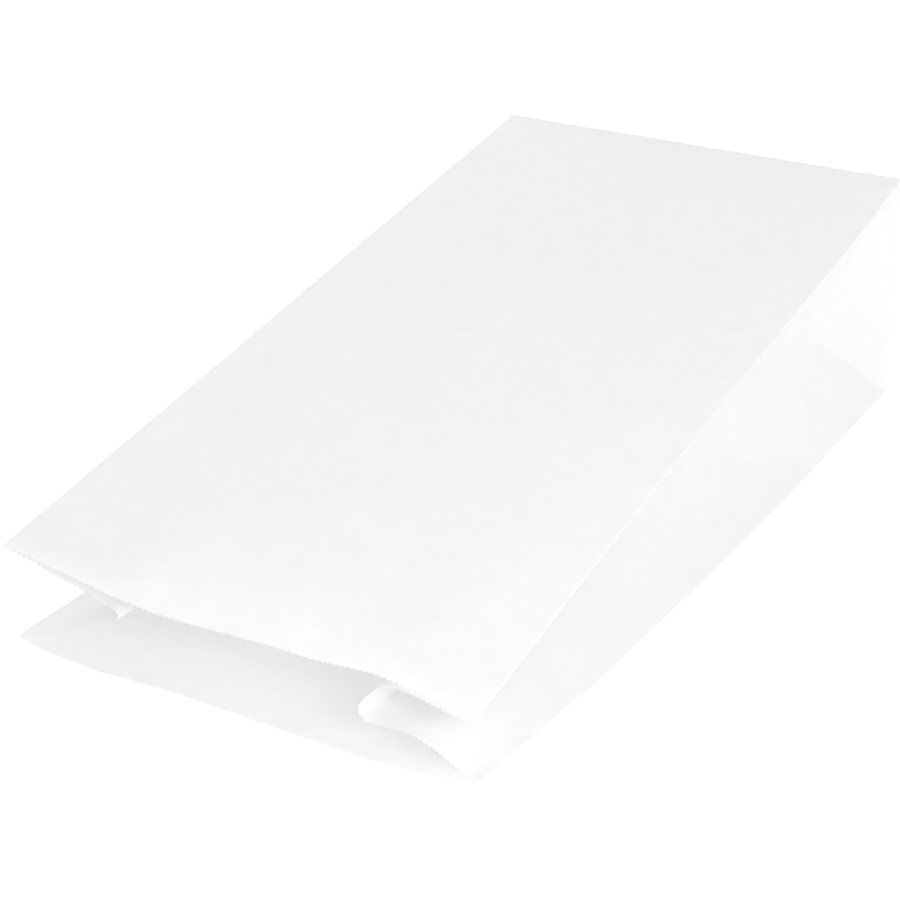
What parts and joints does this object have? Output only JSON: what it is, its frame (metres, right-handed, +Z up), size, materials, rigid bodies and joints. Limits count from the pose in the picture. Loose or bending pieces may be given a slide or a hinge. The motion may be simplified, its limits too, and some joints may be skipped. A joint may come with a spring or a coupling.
{
  "type": "kraft paper bag",
  "caption": "Empty white kraft paper bag with a block bottom, folded side gussets and an open, saw-cut mouth, lying on its back panel.",
  "frame": {"origin": "middle of the bag's footprint on the surface that its back panel lies on", "axes": "+Z up, through the front panel; +Y along the bag from its open mouth to its block bottom; +X across the bag, to the right as seen from the mouth"},
  "size_m": [0.1336, 0.25, 0.0697],
  "materials": {
    "white_kraft": "machine-finished white kraft paper, matt with a faint sheen and a very slight warm tint inside"
  },
  "bodies": {
    "root": {"bag": "white_kraft"}
  },
  "joints": []
}
